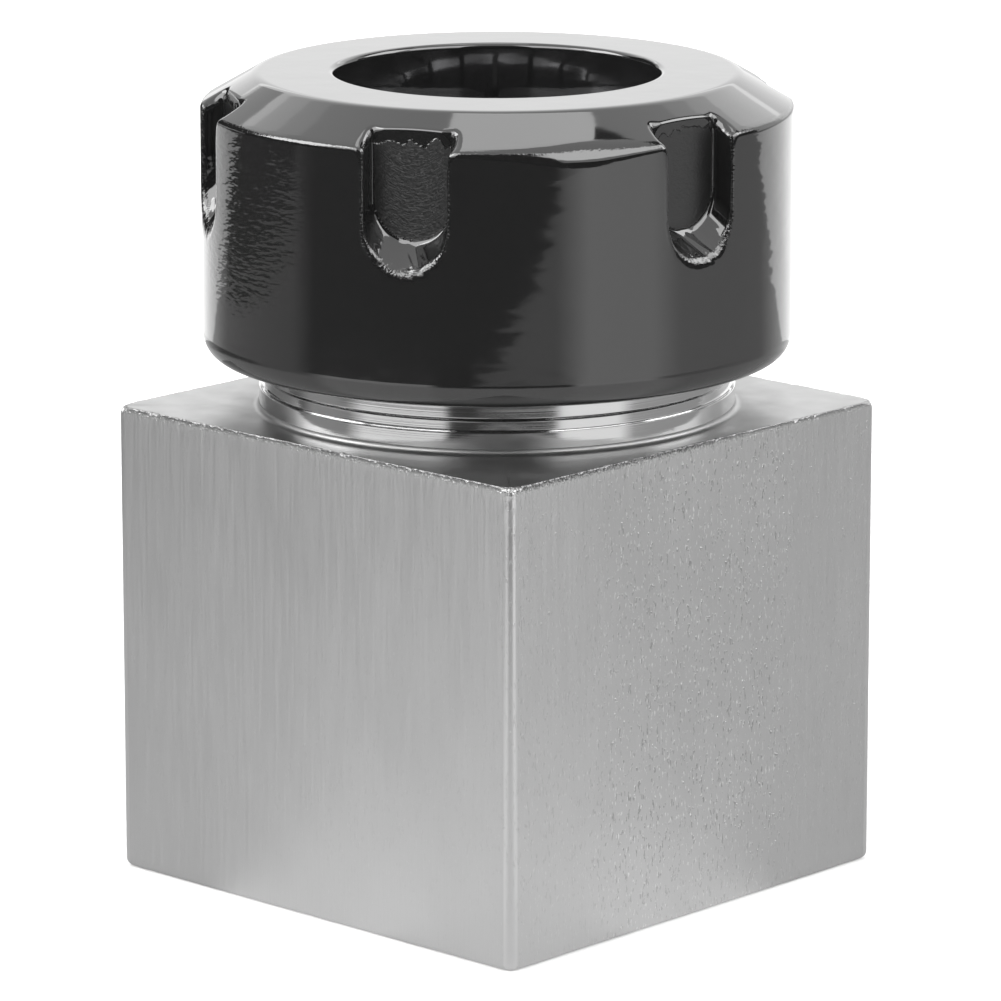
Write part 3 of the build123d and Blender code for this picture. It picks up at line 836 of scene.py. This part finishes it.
def stage_card(name, corners, material):
    """Flat card of the studio from its corners."""
    mesh = bpy.data.meshes.new(name)
    mesh.from_pydata([tuple(map(float, corner)) for corner in corners], [], [tuple(range(len(corners)))])
    mesh.materials.append(material)
    card = new_object(name, mesh)
    return card


stage_card("floor", [(x * floor_half, y * floor_half, -floor_drop) for x, y in ((-1, -1), (1, -1), (1, 1), (-1, 1))],
           floor_material())


def toward(azimuth, elevation, distance):
    """Point at an azimuth to the right of the lens and an elevation, in degrees, and a distance in metres from the
    middle of the object."""
    turn, rise = np.radians(azimuth), np.radians(elevation)
    front = np.array([back[0], back[1], 0.0]) / np.linalg.norm(back[:2])
    direction = np.cos(rise) * (np.cos(turn) * front + np.sin(turn) * right) + np.sin(rise) * np.array([0, 0, 1.0])
    return np.array([0, 0, target_height]) + direction * distance


# Black cards, each with its distance and its corners' azimuths and elevations: round the lens, the dark core of
# every reflection that looks straight back; low on both sides of it; far to its left; high on its right, where the
# right slot sees it; and a small flag over the nut that shows in the bevel.
black_cloth, tree = new_material("black_cloth")
shade = node(tree, "ShaderNodeBsdfDiffuse", {"Color": linear("202020")})
node(tree, "ShaderNodeOutputMaterial", {"Surface": shade.outputs[0]})
for name, distance, corners in (
        ("lens_card", 1.1, [(-25, -4), (27, -4), (27, 42), (-25, 42)]),
        ("low_left_card", 1.1, [(-72, -2), (-25, -2), (-25, 15), (-72, 15)]),
        ("low_right_card", 1.1, [(27, -2), (75, -2), (75, 15), (27, 15)]),
        ("lowest_left_card", 1.1, [(-112, -2), (-72, -2), (-72, 15), (-112, 15)]),
        ("lowest_right_card", 1.1, [(75, -2), (118, -2), (118, 15), (75, 15)]),
        ("side_card", 1.1, [(-160, 2), (-112, 2), (-112, 30), (-160, 30)]),
        ("high_right_card", 1.1, [(136, 32), (108, 32), (108, 60), (136, 60)]),
        ("top_flag", 0.0469, [(52.3, 68.7), (63.0, 63.6), (45.2, 67.0)])):
    card = stage_card(name, [toward(*corner, distance) for corner in corners], black_cloth)
    card.visible_camera = False
    card.visible_diffuse = False
    card.visible_shadow = False

# The white surround, at half its strength on anything but the camera and metal.
world = bpy.data.worlds.new("white_surround")
bpy.context.scene.world = world
world.use_nodes = True
sky = world.node_tree
sky.nodes.clear()
path = node(sky, "ShaderNodeLightPath")
seen = node(sky, "ShaderNodeMath", {0: path.outputs["Is Camera Ray"], 1: path.outputs["Is Glossy Ray"]},
            operation="MAXIMUM").outputs[0]
strength = node(sky, "ShaderNodeMapRange", {0: seen, 1: 0.0, 2: 1.0, 3: 0.5, 4: 1.0}).outputs[0]
surround = node(sky, "ShaderNodeBackground", {"Color": (1.0, 1.0, 1.0, 1.0), "Strength": strength})
node(sky, "ShaderNodeOutputWorld", {"Surface": surround.outputs[0]})


def soft_lamp(name, azimuth, elevation, distance, width, height, radiance):
    """Soft box of the given radiance, facing the object from an azimuth and elevation seen from the lens."""
    place = toward(azimuth, elevation, distance)
    lamp = bpy.data.lights.new(name, "AREA")
    lamp.shape = "RECTANGLE"
    lamp.size, lamp.size_y = width, height
    lamp.energy = radiance * np.pi * width * height
    holder = new_object(name, lamp)
    holder.location = place
    holder.rotation_mode = "QUATERNION"
    holder.rotation_quaternion = Vector(place - np.array([0, 0, target_height])).to_track_quat("Z", "Y")
    holder.visible_camera = False
    return holder


# Each lamp with its azimuth, elevation, width, height and radiance: one on each side of the lens, one far to each
# side, one over the nut, and four behind that grade from bright to dim as they rise.
for name, azimuth, elevation, width, height, radiance in (
        ("lamp_left", -46, 42, 0.62, 0.5, 3.0),
        ("lamp_right", 49, 42, 0.62, 0.5, 3.0),
        ("lamp_side_left", -89, 34, 0.5, 0.5, 5.7),
        ("lamp_side_right", 97, 34, 0.5, 0.5, 3.9),
        ("lamp_top", 170.5, 73.8, 0.317, 0.33, 1.75),
        ("lamp_back_low", 180, 12, 1.5, 0.34, 0.62),
        ("lamp_back_middle", 180, 29, 1.3, 0.28, 0.4),
        ("lamp_back_high", 180, 33, 1.3, 0.4, 0.25),
        ("lamp_back_top", 180, 36, 1.3, 0.52, 0.2)):
    soft_lamp(name, azimuth, elevation, lamp_distance, width, height, radiance)

# The bench behind the object, lit from above: it shows in the nut's outermost edges.
bench_light = soft_lamp("lamp_bench", 180, 0, 0.34, 0.8, 0.33, 0.8)
bench_light.location[2] = bench_height
forward = np.cross([0, 0, -1], right)
bench_light.rotation_quaternion = Matrix(np.stack([right, forward, [0, 0, -1]], 1).tolist()).to_quaternion()

view = bpy.data.cameras.new("camera")
view.sensor_width = sensor_width
view.lens = focal_length * sensor_width
view.clip_start = 0.01
eye = new_object("camera", view)
place = back * camera_distance + right * camera_aside + up * camera_above
eye.matrix_world = Matrix([[right[i], up[i], back[i], place[i]] for i in range(3)] + [[0, 0, 0, 1]])
bpy.context.scene.camera = eye
bpy.context.scene.view_settings.view_transform = "Standard"
